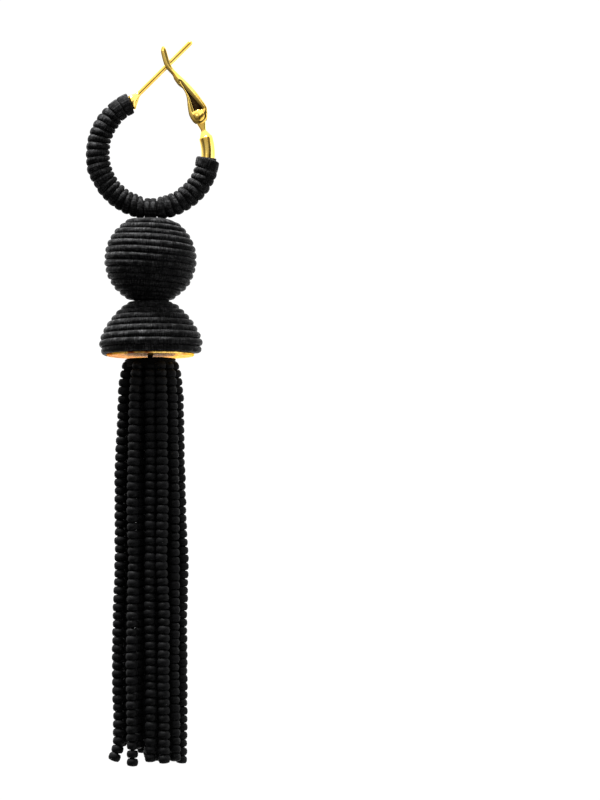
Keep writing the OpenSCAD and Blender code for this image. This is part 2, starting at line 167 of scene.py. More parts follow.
FLOOR_R = 0.16
FLOOR_BELOW = 0.32
FLOOR_SIDES = 96
floor_z = cad_box[0].z - FLOOR_BELOW
floor_mesh = bpy.data.meshes.new("floor")
rim = [(FLOOR_R * math.cos(a), FLOOR_R * math.sin(a), floor_z) for a in full_turn(FLOOR_SIDES)]
floor_mesh.from_pydata(rim, [], [list(range(len(rim)))])
floor = bpy.data.objects.new("floor", floor_mesh)
bpy.context.scene.collection.objects.link(floor)
pale = bpy.data.materials.new("pale_floor")
pale.use_nodes = True
pale_shader = pale.node_tree.nodes["Principled BSDF"]
pale_shader.inputs["Base Color"].default_value = (0.82, 0.82, 0.82, 1)
pale_shader.inputs["Roughness"].default_value = 0.7
floor_mesh.materials.append(pale)

# Each lamp: its place, the width of its disc and its watts
LAMPS = {
    "key_lamp": ((-0.2, -0.05, 0.9), 0.28, 34),
    "fill_lamp": ((-0.4, -0.85, 0.25), 0.3, 0.5),
    "side_lamp": ((0.9, -0.45, 0.15), 0.3, 0.5),
}
for name, (place, size, watts) in LAMPS.items():
    lamp = bpy.data.lights.new(name, "AREA")
    lamp.shape = "DISK"
    lamp.size = size
    lamp.energy = watts
    lamp_object = bpy.data.objects.new(name, lamp)
    lamp_object.location = place
    lamp_object.rotation_euler = (aim - Vector(place)).to_track_quat("-Z", "Y").to_euler()
    bpy.context.scene.collection.objects.link(lamp_object)

# Hoop frame: a tube of gold-plated brass bent to an open hoop, with a collar and the ear post
# soldered into its front end and the hinge's tongue into its rear end, then polished.
GOLD_PALE = (1, 0.7, 0.17, 1)
GOLD_DEEP = (0.92, 0.48, 0.05, 1)


def plating_group():
    group = bpy.data.node_groups.new("plating", "ShaderNodeTree")
    face = group.interface
    face.new_socket("Vector", in_out="INPUT", socket_type="NodeSocketVector")
    for name in ("Pale", "Deep"):
        face.new_socket(name, in_out="INPUT", socket_type="NodeSocketColor")
    for name in ("Cloud Scale", "Warmth", "Polish", "Drift"):
        face.new_socket(name, in_out="INPUT", socket_type="NodeSocketFloat")
    face.new_socket("Color", in_out="OUTPUT", socket_type="NodeSocketColor")
    for name in ("Roughness", "Height"):
        face.new_socket(name, in_out="OUTPUT", socket_type="NodeSocketFloat")
    given = add(group, "NodeGroupInput").outputs
    cloud = add(group, "ShaderNodeTexNoise", {
        "Vector": given["Vector"], "Scale": given["Cloud Scale"], "Detail": 3.0}).outputs[0]
    grain = add(group, "ShaderNodeTexNoise", {
        "Vector": given["Vector"], "Scale": 9000.0, "Detail": 2.0}).outputs[0]
    # A drift along X shifts the tone to the deep one on the -X side; the plate uses it for a painted
    # reflection at its left edge
    aside = add(group, "ShaderNodeSeparateXYZ", {0: given["Vector"]}).outputs["X"]
    drifted = math_node(group, "SUBTRACT", cloud, math_node(group, "MULTIPLY", aside, given["Drift"]))
    warm = math_node(group, "MULTIPLY", soft_step(group, drifted, 0.35, 0.7), given["Warmth"])
    tint = add(group, "ShaderNodeMix", {0: warm, 6: given["Pale"], 7: given["Deep"]}, data_type="RGBA")
    rubbed = soft_step(group, grain, 0.3, 0.7, -0.04, 0.06)
    add(group, "NodeGroupOutput", {
        "Color": tint.outputs[2],
        "Roughness": math_node(group, "ADD", given["Polish"], rubbed),
        "Height": math_node(group, "ADD", math_node(group, "MULTIPLY", grain, 0.15), cloud),
    })
    return group


plating = plating_group()


def gold_finish(name, pale, deep, cloud_scale, warmth, polish, dents, depth=0.0001, edge=(1, 1, 1, 1)):
    """Gold plate in clouds of two tones. Its edge tint colours what it mirrors at a low angle."""
    finish = bpy.data.materials.new(name)
    finish.use_nodes = True
    tree = finish.node_tree
    place = add(tree, "ShaderNodeTexCoord").outputs["Object"]
    plated = add(tree, "ShaderNodeGroup", {
        "Vector": place, "Pale": pale, "Deep": deep, "Cloud Scale": cloud_scale, "Warmth": warmth,
        "Polish": polish}, node_tree=plating)
    bump = add(tree, "ShaderNodeBump", {"Height": plated.outputs["Height"], "Distance": depth,
        "Strength": dents})
    shader = tree.nodes["Principled BSDF"]
    shader.inputs["Metallic"].default_value = 1
    shader.inputs["Specular Tint"].default_value = edge
    tree.links.new(plated.outputs["Color"], shader.inputs["Base Color"])
    tree.links.new(plated.outputs["Roughness"], shader.inputs["Roughness"])
    tree.links.new(bump.outputs[0], shader.inputs["Normal"])
    return finish


def new_object(name, mesh):
    made = bpy.data.objects.new(name, mesh)
    bpy.context.scene.collection.objects.link(made)
    return made


def tumbled_copy(node, name, voxel, passes, swell):
    """Copy of a metal piece with its edges and solder seams tumbled round."""
    mesh = frame["nodes"][node].data.copy()
    shape = bmesh.new()
    shape.from_mesh(mesh)
    bmesh.ops.remove_doubles(shape, verts=shape.verts, dist=1e-7)
    shape.to_mesh(mesh)
    shape.free()
    piece = new_object(name, mesh)
    blank = piece.modifiers.new("solid_blank", "REMESH")
    blank.mode = "VOXEL"
    blank.voxel_size = voxel
    blank.use_smooth_shade = True
    tumbling = piece.modifiers.new("tumbling", "SMOOTH")
    tumbling.factor = 0.5
    tumbling.iterations = passes
    depsgraph = bpy.context.evaluated_depsgraph_get()
    tumbled = bpy.data.meshes.new_from_object(piece.evaluated_get(depsgraph), depsgraph=depsgraph)
    piece.modifiers.clear()
    piece.data = tumbled
    # Smoothing thins the metal a little, so it is swelled back
    places, normals = np.empty((2, 3 * len(tumbled.vertices)))
    tumbled.vertices.foreach_get("co", places)
    tumbled.vertices.foreach_get("normal", normals)
    tumbled.vertices.foreach_set("co", places + swell * normals)
    tumbled.materials.clear()
    return piece


polished_gold = gold_finish("polished_gold", GOLD_PALE, GOLD_DEEP, cloud_scale=420.0, warmth=0.6,
    polish=0.12, dents=0.1)
hoop = tumbled_copy("hoop_frame", "soldered_hoop", voxel=0.00009, passes=12, swell=0.00002)
hoop.data.materials.append(polished_gold)
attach(hoop, "hoop")
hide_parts("hoop_frame")

# Hinge rivet: a gold-plated pin through the tongue and both cheeks of the lever, its ends
# hammered to low domes.
frame["nodes"]["hinge_rivet"].data.materials.clear()
frame["nodes"]["hinge_rivet"].data.materials.append(polished_gold)

# Latch lever: a blank of thin brass folded to a channel, pierced on its near cheek and plated.
# It turns on the rivet, and its fork drops over the ear post. Its cheeks are crowned. The faces
# inside the channel are painted dark brown: painted shade in the channel.
CHANNEL_HALF_W = 0.00064
CROWN_DEPTH, CROWN_W = 0.0002, 0.001
lever = tumbled_copy("latch_lever", "folded_lever", voxel=0.00006, passes=14, swell=0.00001)
places, normals = np.empty((2, len(lever.data.vertices), 3))
lever.data.vertices.foreach_get("co", places.ravel())
lever.data.vertices.foreach_get("normal", normals.ravel())
cheek_rim = places[(abs(places[:, 1]) > CHANNEL_HALF_W) & (abs(normals[:, 1]) < 0.5)]
rim_places = KDTree(len(cheek_rim))
# The cheeks lie metres apart in this search, so that each finds only its own rim
for i, (x, y, z) in enumerate(cheek_rim):
    rim_places.insert((x, np.sign(y), z), i)
rim_places.balance()
from_rim = np.array([rim_places.find((x, np.sign(y), z))[2] for x, y, z in places])
outward = (abs(places[:, 1]) - CHANNEL_HALF_W) / (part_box("latch_lever")[1].y - CHANNEL_HALF_W)
fall = CROWN_DEPTH * np.clip(outward, 0, 1) * np.clip(1 - from_rim / CROWN_W, 0, 1)**2
places[:, 1] -= fall * np.sign(places[:, 1])
lever.data.vertices.foreach_set("co", places.ravel())
# Painted shade: a dark brown finish for the faces inside the channel, where the shade falls
channel_painted_shade = gold_finish("channel_painted_shade", (0.1, 0.06, 0.02, 1), (0.03, 0.015, 0.006, 1),
    cloud_scale=900.0, warmth=1.0, polish=0.5, dents=0.4)
lever.data.materials.append(polished_gold)
lever.data.materials.append(channel_painted_shade)
# The faces inside the channel take the painted shade
for facet in lever.data.polygons:
    inside = abs(facet.center.y) < CHANNEL_HALF_W and facet.normal.y * facet.center.y < 0
    facet.material_index = 1 if inside else 0
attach(lever, "lever")
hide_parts("latch_lever")


# Front winding: a silky black cord wound tightly round the tube from the collar down to the
# hanger, over a thin sleeve. Two turns of a wide flat band cover its upper end.
def cord_tree():
    """Sweeps a rounded section along routes whose points know their middle, side and outside."""
    tree = bpy.data.node_groups.new("lay_cord", "GeometryNodeTree")
    face = tree.interface
    face.new_socket("Geometry", in_out="INPUT", socket_type="NodeSocketGeometry")
    for name, value in (("Fullness", 1.0), ("Twist", 0.0)):
        face.new_socket(name, in_out="INPUT", socket_type="NodeSocketFloat").default_value = value
    face.new_socket("Sides", in_out="INPUT", socket_type="NodeSocketInt").default_value = 12
    face.new_socket("Finish", in_out="INPUT", socket_type="NodeSocketMaterial")
    face.new_socket("Geometry", in_out="OUTPUT", socket_type="NodeSocketGeometry")
    given = add(tree, "NodeGroupInput").outputs

    def stored(name, kind):
        return add(tree, "GeometryNodeInputNamedAttribute", {"Name": name}, data_type=kind).outputs[0]

    route = add(tree, "GeometryNodeMeshToCurve", {"Mesh": given["Geometry"]})
    ring = add(tree, "GeometryNodeCurvePrimitiveCircle", {"Resolution": given["Sides"], "Radius": 1.0})
    place = add(tree, "GeometryNodeInputPosition").outputs[0]
    section = add(tree, "GeometryNodeStoreNamedAttribute", {
        "Geometry": ring.outputs[0], "Name": "section", "Value": place}, data_type="FLOAT_VECTOR")
    count = math_node(tree, "DIVIDE", add(tree, "GeometryNodeInputIndex").outputs[0], given["Sides"])
    around_it = add(tree, "GeometryNodeStoreNamedAttribute", {
        "Geometry": section.outputs[0], "Name": "share", "Value": count}, data_type="FLOAT")
    swept = add(tree, "GeometryNodeCurveToMesh", {
        "Curve": route.outputs[0], "Profile Curve": around_it.outputs[0], "Fill Caps": True})
    flat = add(tree, "ShaderNodeSeparateXYZ", {0: stored("section", "FLOAT_VECTOR")}).outputs
    fuller = [
        math_node(tree, "MULTIPLY", math_node(tree, "SIGN", flat[axis]),
            math_node(tree, "POWER", math_node(tree, "ABSOLUTE", flat[axis]), given["Fullness"]))
        for axis in ("X", "Y")
    ]
    point = stored("middle", "FLOAT_VECTOR")
    # The section's first point goes to the inner side, so that the seam of its texture is hidden
    for share, direction, size in ((fuller[1], "side", "wide"), (fuller[0], "out", "thick")):
        reach = math_node(tree, "MULTIPLY", share, stored(size, "FLOAT"))
        step = add(tree, "ShaderNodeVectorMath", {
            0: stored(direction, "FLOAT_VECTOR"), "Scale": math_node(tree, "MULTIPLY", reach, -0.5)},
            operation="SCALE").outputs[0]
        point = add(tree, "ShaderNodeVectorMath", {0: point, 1: step}, operation="ADD").outputs[0]
    placed = add(tree, "GeometryNodeSetPosition", {"Geometry": swept.outputs[0], "Position": point})
    spiral = math_node(tree, "ADD", stored("share", "FLOAT"),
        math_node(tree, "MULTIPLY", stored("along", "FLOAT"), given["Twist"]))
    spread = add(tree, "ShaderNodeCombineXYZ", {"X": stored("along", "FLOAT"), "Y": spiral})
    mapped = add(tree, "GeometryNodeStoreNamedAttribute", {
        "Geometry": placed.outputs[0], "Name": "cord_map", "Value": spread.outputs[0]},
        data_type="FLOAT2", domain="CORNER")
    smooth = add(tree, "GeometryNodeSetShadeSmooth", {"Geometry": mapped.outputs[0]})
    real = add(tree, "GeometryNodeRealizeInstances", {"Geometry": smooth.outputs[0]})
    done = add(tree, "GeometryNodeSetMaterial", {
        "Geometry": real.outputs[0], "Material": given["Finish"]})
    add(tree, "NodeGroupOutput", {"Geometry": done.outputs[0]})
    return tree


lay_cord = cord_tree()


def run_tree(start, tree, **values):
    """Gives the plain mesh that a Geometry Nodes tree makes of a starting mesh."""
    carrier = new_object("carrier", start)
    modifier = carrier.modifiers.new("nodes", "NODES")
    modifier.node_group = tree
    for item in tree.interface.items_tree:
        if item.in_out == "INPUT" and item.name in values:
            modifier[item.identifier] = values[item.name]
    depsgraph = bpy.context.evaluated_depsgraph_get()
    made = bpy.data.meshes.new_from_object(carrier.evaluated_get(depsgraph), depsgraph=depsgraph)
    bpy.data.objects.remove(carrier)
    return made


def cord_mesh(runs, **values):
    """Lays cord along runs. Each has its points, outward directions, widths and thicknesses."""
    stored = {"middle": [], "side": [], "out": [], "wide": [], "thick": [], "along": []}
    edges = []
    for points, out, wide, thick, closed in runs:
        count = len(points)
        first = sum(len(p) for p in stored["middle"])
        ahead = np.roll(points, -1, 0) - np.roll(points, 1, 0)
        if not closed:
            ahead[0] = points[1] - points[0]
            ahead[-1] = points[-1] - points[-2]
        side = np.cross(ahead, out)
        side /= np.linalg.norm(side, axis=1)[:, None]
        step = np.linalg.norm(np.diff(points, axis=0), axis=1)
        edges += [(first + i, first + i + 1) for i in range(count - 1)]
        if closed:
            edges.append((first + count - 1, first))
        stored["middle"].append(points)
        stored["side"].append(side)
        stored["out"].append(out)
        stored["wide"].append(np.broadcast_to(wide, count))
        stored["thick"].append(np.broadcast_to(thick, count))
        stored["along"].append(1000 * np.concatenate([[0], np.cumsum(step)]))
    stored = {name: np.concatenate(values_of) for name, values_of in stored.items()}
    route = bpy.data.meshes.new("route")
    route.from_pydata(stored["middle"].tolist(), edges, [])
    for name, values_of in stored.items():
        vector = values_of.ndim == 2
        kept = route.attributes.new(name, "FLOAT_VECTOR" if vector else "FLOAT", "POINT")
        kept.data.foreach_set("vector" if vector else "value", values_of.astype(np.float32).ravel())
    made = run_tree(route, lay_cord, **values)
    for name in [*stored, "section", "share"]:
        if name in made.attributes:
            made.attributes.remove(made.attributes[name])
    return made


def sleeve_mesh(rings):
    """Closed skin through rings of points, the last joined to the first."""
    m, n = rings.shape[:2]
    i, j = np.meshgrid(np.arange(m), np.arange(n), indexing="ij")
    ahead, over = (i + 1) % m, (j + 1) % n
    faces = np.stack([i * n + j, i * n + over, ahead * n + over, ahead * n + j], -1).reshape(-1, 4)
    skin = bpy.data.meshes.new("sleeve")
    skin.from_pydata(rings.reshape(-1, 3).tolist(), [], faces.tolist())
    tidy = bmesh.new()
    tidy.from_mesh(skin)
    bmesh.ops.recalc_face_normals(tidy, faces=tidy.faces)
    tidy.to_mesh(skin)
    tidy.free()
    skin.shade_smooth()
    return skin


def joined(name, meshes, finish):
    """One object of several meshes, with one finish."""
    both = bmesh.new()
    for mesh in meshes:
        both.from_mesh(mesh)
    whole = bpy.data.meshes.new(name)
    both.to_mesh(whole)
    both.free()
    whole.materials.append(finish)
    for face in whole.polygons:
        face.material_index = 0
    return new_object(name, whole)


def filament_group():
    group = bpy.data.node_groups.new("silk_filaments", "ShaderNodeTree")
    face = group.interface
    face.new_socket("Vector", in_out="INPUT", socket_type="NodeSocketVector")
    for name in ("Filaments", "Unevenness"):
        face.new_socket(name, in_out="INPUT", socket_type="NodeSocketFloat")
    for name in ("Shine", "Height"):
        face.new_socket(name, in_out="OUTPUT", socket_type="NodeSocketFloat")
    given = add(group, "NodeGroupInput").outputs
    parts = add(group, "ShaderNodeSeparateXYZ", {0: given["Vector"]}).outputs

    def threads(along, around_it):
        """Noise that is stretched along the cord or round it: features per mm and per turn."""
        place = add(group, "ShaderNodeCombineXYZ", {
            "X": math_node(group, "MULTIPLY", parts["X"], along),
            "Y": math_node(group, "MULTIPLY", parts["Y"], around_it)})
        return add(group, "ShaderNodeTexNoise", {
            "Vector": place.outputs[0], "Scale": 1.0, "Detail": 2.0}).outputs[0]

    fine = threads(1.4, given["Filaments"])
    ribs = threads(5.0, 3.0)
    lumps = threads(0.6, 4.0)
    # Shine: streaks along the filaments and ribs, for a painted sheen in the cord's colour and a lower
    # roughness
    bright = math_node(group, "MULTIPLY", soft_step(group, fine, 0.38, 0.64, 0.3, 1.0),
        soft_step(group, ribs, 0.4, 0.6, 0.2, 1.0))
    raised = math_node(group, "ADD", math_node(group, "MULTIPLY", fine, 0.5), ribs)
    lumpy = math_node(group, "MULTIPLY", lumps, given["Unevenness"])
    add(group, "NodeGroupOutput", {
        "Shine": math_node(group, "MULTIPLY", bright, soft_step(group, lumps, 0.36, 0.6, 0.22, 1.0)),
        "Height": math_node(group, "ADD", raised, lumpy),
    })
    return group


filaments = filament_group()


def cord_finish(name, count, dull, bright):
    """Twisted silk of a count of filaments, dull between them and bright along them: the bright streaks
    in the colour are a painted sheen, and they are also less rough.
    """
    finish = bpy.data.materials.new(name)
    finish.use_nodes = True
    tree = finish.node_tree
    spread = add(tree, "ShaderNodeUVMap", uv_map="cord_map").outputs[0]
    silk = add(tree, "ShaderNodeGroup", {"Vector": spread, "Filaments": count, "Unevenness": 1.2},
        node_tree=filaments)
    # Painted sheen: the colour goes from dull to bright along the shining streaks
    shade = add(tree, "ShaderNodeMix", {0: silk.outputs["Shine"], 6: dull, 7: bright}, data_type="RGBA")
    bump = add(tree, "ShaderNodeBump", {"Height": silk.outputs["Height"], "Distance": 0.00006,
        "Strength": 0.9})
    shader = tree.nodes["Principled BSDF"]
    tree.links.new(shade.outputs[2], shader.inputs["Base Color"])
    tree.links.new(soft_step(tree, silk.outputs["Shine"], 0, 1, 0.6, 0.34), shader.inputs["Roughness"])
    tree.links.new(bump.outputs[0], shader.inputs["Normal"])
    shader.inputs["Specular IOR Level"].default_value = 0.03
    return finish


# Its bright colour is the painted sheen along the silk's streaks
black_cord = cord_finish("black_cord", count=30.0, dull=(0.001, 0.001, 0.0011, 1),
    bright=(0.085, 0.085, 0.087, 1))
ROUND_CORD = {"Fullness": 0.95, "Twist": 0.03, "Sides": 14, "Finish": black_cord}
FLAT_BAND = {"Fullness": 0.55, "Twist": 0.0, "Sides": 18, "Finish": black_cord}
TUBE_R = 0.0012
CORD_LAYER = 0.00068
SLEEVE_GAP = 0.00008
SLEEVE_WALL = 0.0002
hoop_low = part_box("hoop_frame")[0]
hoop_r = -hoop_low.x - TUBE_R
hoop_z = hoop_low.z + TUBE_R + hoop_r
wound_r = TUBE_R + CORD_LAYER
front_from, front_to = math.radians(113.5), math.radians(261.1)
rear_from, rear_to = math.radians(274.8), math.radians(356)
BAND_ANGLE = math.radians(10)
# A band fills nearly all of its angle
BAND_SHARE = 0.99
UPRIGHT_SPAN = math.radians(24)
CORD_OVERLAP = 1.04
FRONT_TILT = 0.4
TURN_STEPS = 28
# The laid turns wave: a bend for each quarter of a turn, outwards and in their width
BEND_TURNS, BEND_RISE, BEND_SWELL = 0.25, 0.00003, 0.05
# How far the turns stand proud of a plain winding, by their angle, on its inner and outer sides
PROUD_AT = np.radians((120, 150, 180, 195, 215, 255, 285, 310, 345))
PROUD_IN = (0.00008, 0.0002, 0.00034, 0.00034, 0.00026, 0.00018, 0.00018, 0.00018, 0.0001)
PROUD_OUT = (0, 0.0001, 0.00008, 0.00022, 0, 0.00004, 0.00004, 0.00018, 0.0003)
rng = np.random.default_rng(7)


def across_tube(angle):
    """Outward direction of the section at an angle of the hoop, upright beside the hanger."""
    away = np.maximum(front_to - angle, angle - rear_from)
    share = np.clip(1 - away / UPRIGHT_SPAN, 0, None)
    plane = angle + (1.5 * math.pi - angle) * share**2
    return np.stack([np.cos(plane), 0 * plane, np.sin(plane)], -1)


def on_tube(angle, turn, r):
    """Points round the tube, and the directions from its middle line out to them."""
    middle = np.stack([hoop_r * np.cos(angle), 0 * angle, hoop_z + hoop_r * np.sin(angle)], -1)
    out = across_tube(angle) * np.cos(turn)[:, None] + np.outer(np.sin(turn), (0, 1, 0))
    return middle + r[:, None] * out, out


def hoop_turns(start, end, turns, thick=0.00105):
    """Run of cord wound round the tube. It steps over to its next turn mostly at the back."""
    u = np.linspace(-0.5, turns - 0.5, round(turns * TURN_STEPS) + 1)
    step = (end - start) / turns
    advance = u - (1 - FRONT_TILT) * np.sin(math.tau * u) / math.tau
    angle = np.clip(start + step * (advance + 0.5), start + step / 2, end - step / 2)
    turn = math.tau * u - math.pi / 2
    knots = np.arange(-1, turns + 2, BEND_TURNS)
    swell = np.interp(u, knots, rng.normal(0, 1, len(knots)))
    inside, outside = [np.interp(angle, PROUD_AT, proud) for proud in (PROUD_IN, PROUD_OUT)]
    outer_share = (1 + np.cos(turn)) / 2
    r = wound_r - thick / 2 + BEND_RISE * swell + outside * outer_share + inside * (1 - outer_share)
    wide = CORD_OVERLAP * step * (hoop_r + wound_r * np.cos(turn)) * (1 + BEND_SWELL * swell)
    points, out = on_tube(angle, turn, r)
    return points, out, wide, thick, False


def hoop_band(start, end, proud=0.0, slant=0.0, narrower=0.0, thick=0.0007):
    """Closed turn of flat band. A slant lays its outer side back, where it may be narrower."""
    turn = full_turn(2 * TURN_STEPS) - math.pi / 2
    outer_share = (1 + np.cos(turn)) / 2
    points, out = on_tube((start + end) / 2 + slant * outer_share, turn,
        np.full_like(turn, wound_r - thick / 2 + proud))
    wide = BAND_SHARE * (end - start) * (hoop_r + wound_r * np.cos(turn)) * (1 - narrower * outer_share)
    return points, out, wide, thick, True


def hoop_sleeve(start, end, gap=SLEEVE_GAP, wall=SLEEVE_WALL, steps=40, sides=24):
    """Thin sleeve round the tube, under the cord."""
    angle = np.linspace(start, end, steps)
    turn = full_turn(sides)
    inner = TUBE_R + gap
    rings = [
        on_tube(np.full_like(turn, a), turn, np.full_like(turn, r))[0]
        for r, path in ((inner + wall, angle), (inner, angle[::-1])) for a in path
    ]
    return sleeve_mesh(np.array(rings))


SLEEVE_INSET = math.radians(0.8)
# A closer and thinner sleeve lines the hoop where the hanger swings: its gap and its wall
LINING = (0.00002, 0.00015)
FRONT_TURNS = 18
front_turns = hoop_turns(front_from + 2 * BAND_ANGLE, front_to, FRONT_TURNS)
front_bands = [hoop_band(front_from + i * BAND_ANGLE, front_from + (i + 1) * BAND_ANGLE) for i in (0, 1)]
front_winding = joined("front_winding", [
    cord_mesh([front_turns], **ROUND_CORD),
    cord_mesh(front_bands, **FLAT_BAND),
    hoop_sleeve(front_from + SLEEVE_INSET, front_to - SLEEVE_INSET),
    hoop_sleeve(front_to - SLEEVE_INSET, rear_from + SLEEVE_INSET, *LINING),
], black_cord)
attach(front_winding, "hoop")
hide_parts("hoop_winding_front")

# Rear winding: the same cord, from the hanger up to the bare gold below the hinge. One wide
# flat band closes it. The band stands a little proud, and is narrower on its outer side.
REAR_TURNS = 9
REAR_BAND = 1.2 * BAND_ANGLE
rear_turns = hoop_turns(rear_from, rear_to - REAR_BAND, REAR_TURNS)
rear_band = hoop_band(rear_to - REAR_BAND, rear_to + BAND_ANGLE / 16, proud=0.00018,
    slant=math.radians(-2.9), narrower=0.2)
rear_winding = joined("rear_winding", [
    cord_mesh([rear_turns], **ROUND_CORD),
    cord_mesh([rear_band], **FLAT_BAND),
    hoop_sleeve(rear_from + SLEEVE_INSET, rear_to - SLEEVE_INSET),
], black_cord)
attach(rear_winding, "hoop")
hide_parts("hoop_winding_rear")

# Hanger: two turns of the cord sewn into a loop that swings on the hoop's lowest stretch, with
# a stiff bound core below it on which the ball, the dome, the plate and the tassel are threaded.
swing = Vector(next(j["pos_m"] for j in frame["joints"] if j["name"] == "drop_swing"))
LOOP_W, LOOP_THICK = 0.002, 0.00046
CORE_R = 0.00045


def loop_ring(x, steps=48):
    """Closed turn of cord round the hoop's lowest stretch, at a distance from its middle."""
    turn = full_turn(steps) + math.pi / 2
    out = np.stack([0 * turn, np.cos(turn), np.sin(turn)], -1)
    points = np.array((swing.x + x, 0, swing.z)) + (wound_r - LOOP_THICK / 2) * out
    return points, out, LOOP_W / 2 * CORD_OVERLAP, LOOP_THICK, True


def straight_run(top, low, r, count=30):
    """Upright length of round cord below the hoop."""
    z = np.linspace(top, low, count)
    points = np.stack([np.full_like(z, swing.x), 0 * z, z], -1)
    return points, np.broadcast_to((0, 1, 0), points.shape).astype(float), 2 * r, 2 * r, False


core_top = swing.z - wound_r + LOOP_THICK
hanger = joined("hanger_loop", [
    cord_mesh([loop_ring(-LOOP_W / 4), loop_ring(LOOP_W / 4)], Fullness=0.9, Twist=0.03, Sides=14,
        Finish=black_cord),
    cord_mesh([straight_run(core_top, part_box("hanger")[0].z, CORE_R)], Sides=14, Finish=black_cord),
], black_cord)
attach(hanger, "drop")
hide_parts("hanger")

# Wound ball: a round former wound from hole to hole with one length of the cord, laid in
# touching turns. The winding leans a little, so that its turns fall to the right in front.
BALL_R = 0.00783
BALL_TOP_R, BALL_FOOT_R = 0.0039, 0.003
BALL_TURNS = 14
BALL_LEAN = math.radians(2.3)
COIL_R = 0.0009
COIL_STEPS = 12
# The coil under the hoop lies low, which leaves room for the swing. Before the hoop, and less
# behind it, the winding rises to a rim, and its lower half is a little flat.
COIL_SINK = 0.00016
RIM_RISE = 0.0005
RIM_BEHIND = 0.3
RIM_SHARPNESS = 6
FOOT_SHARE = 0.98
CREST = 0.00014
FORMER_DEPTH = 0.00055
# The former's ends lie in by this share of its depth
END_SHARE = 0.3
THREAD_HOLE_R = 0.00051
BALL_CORD = 0.0012
WOUND_CORD = {"Fullness": 1.0, "Twist": 0.03, "Sides": 12, "Finish": black_cord}
# The wound cord waves: a bend for each share of a turn, sideways, outwards and in its width
WAVE_TURNS, WAVE_DRIFT, WAVE_RISE, WAVE_SWELL = 0.13, 0.035, 0.00002, 0.03


def paced(curve, distance):
    """Points of a curve at distances along it, and the curve's outward directions there."""
    run = np.concatenate([[0], np.cumsum(np.linalg.norm(np.diff(curve, axis=0), axis=1))])
    lead = run[-1] / len(curve)

    def at(d):
        return np.stack([np.interp(d, run, curve[:, k]) for k in (0, 1)], -1)

    ahead = at(np.minimum(distance + lead, run[-1])) - at(np.maximum(distance - lead, 0))
    ahead /= np.linalg.norm(ahead, axis=1)[:, None]
    return at(distance), np.stack([-ahead[:, 1], ahead[:, 0]], -1)


def wound_form(curve, turn_width, thick, handed, tilt_share, steps=72):
    """Run of cord wound round the Z axis, down a curve of [radius, height] of its middle."""
    length = np.linalg.norm(np.diff(curve, axis=0), axis=1).sum()
    turns = length / turn_width
    u = np.linspace(0, turns, round(turns * steps) + 1)
    advance = u - (1 - tilt_share) * np.sin(math.tau * u) / math.tau
    knots = np.arange(-1, turns + 2, WAVE_TURNS)
    swell, drift = [np.interp(u, knots, rng.normal(0, 1, len(knots))) for _ in (0, 1)]
    place, out = paced(curve, np.clip((advance + WAVE_DRIFT * drift) * turn_width, 0, length))
    angle = handed * math.tau * u - math.pi / 2
    spoke = np.stack([np.cos(angle), np.sin(angle)], -1)
    outward = np.column_stack([out[:, :1] * spoke, out[:, 1]])
    points = np.column_stack([place[:, :1] * spoke, place[:, 1]]) + WAVE_RISE * swell[:, None] * outward
    return points, outward, CORD_OVERLAP * turn_width * (1 + WAVE_SWELL * swell), thick, False


def arc(rx, rz, start, end, flank=1.0, count=64):
    """Curve round a middle from one angle to another; a flank over 1 straightens it."""
    a = np.linspace(start, end, count)
    return np.stack([rx * np.cos(a)**flank, rz * np.sign(a) * np.abs(np.sin(a))**flank], -1)


def former_mesh(curve, depth, sides=48):
    """Solid of revolution just inside a wound curve, with the thread hole through it."""
    inside = [(max(r - depth, THREAD_HOLE_R), z - depth * np.sign(z) * END_SHARE) for r, z in curve[::3]]
    loop = np.array([(THREAD_HOLE_R, inside[0][1]), *inside, (THREAD_HOLE_R, inside[-1][1])])
    angle = full_turn(sides)
    rings = np.stack([
        np.outer(loop[:, 0], np.cos(angle)), np.outer(loop[:, 0], np.sin(angle)),
        np.outer(loop[:, 1], np.ones_like(angle))], -1)
    return sleeve_mesh(rings)


def moved(mesh, place, lean=0.0):
    """Puts a mesh in its place, leaned about Y."""
    c, s = math.cos(lean), math.sin(lean)
    turned = np.array(((c, 0, s), (0, 1, 0), (-s, 0, c)))
    flat = np.empty(3 * len(mesh.vertices))
    mesh.vertices.foreach_get("co", flat)
    mesh.vertices.foreach_set("co", (flat.reshape(-1, 3) @ turned.T + np.array(place)).ravel())
    return mesh


ball_up = math.sqrt(BALL_R**2 - BALL_TOP_R**2)
ball_middle = (swing.x, 0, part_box("wound_ball")[1].z - ball_up)
top_angle, foot_angle = math.asin(ball_up / BALL_R), math.acos(BALL_FOOT_R / BALL_R)
cord_middle = BALL_R + CREST - BALL_CORD / 2
ball_arc = arc(cord_middle, cord_middle, top_angle, -foot_angle)
hollow = np.linspace(0, 1, COIL_STEPS)[:-1]
coil_z = ball_up - BALL_CORD / 2 - COIL_SINK
top_coil = np.stack([COIL_R + (ball_arc[0, 0] - COIL_R) * hollow,
    coil_z + (ball_arc[0, 1] - coil_z) * hollow**4], -1)
foot_z = -math.sqrt(BALL_R**2 - BALL_FOOT_R**2) + BALL_CORD / 2
foot_coil = np.linspace(ball_arc[-1, 0], COIL_R, COIL_STEPS)[1:]
foot_coil = np.stack([foot_coil, np.full_like(foot_coil, foot_z)], -1)
ball_curve = np.concatenate([top_coil, ball_arc, foot_coil])
ball_turn = cord_middle * (math.acos(BALL_TOP_R / BALL_R) + foot_angle) / BALL_TURNS
ball_run = wound_form(ball_curve, ball_turn, BALL_CORD, handed=1, tilt_share=1.0)
x, y, z = ball_run[0].T
rim_share = np.where(y < 0, 1, RIM_BEHIND)
z += RIM_RISE * rim_share * y**2 / (x**2 + y**2) * np.clip(z / ball_up, 0, 1)**RIM_SHARPNESS
z[z < 0] *= FOOT_SHARE
ball_cord = cord_mesh([ball_run], **WOUND_CORD)
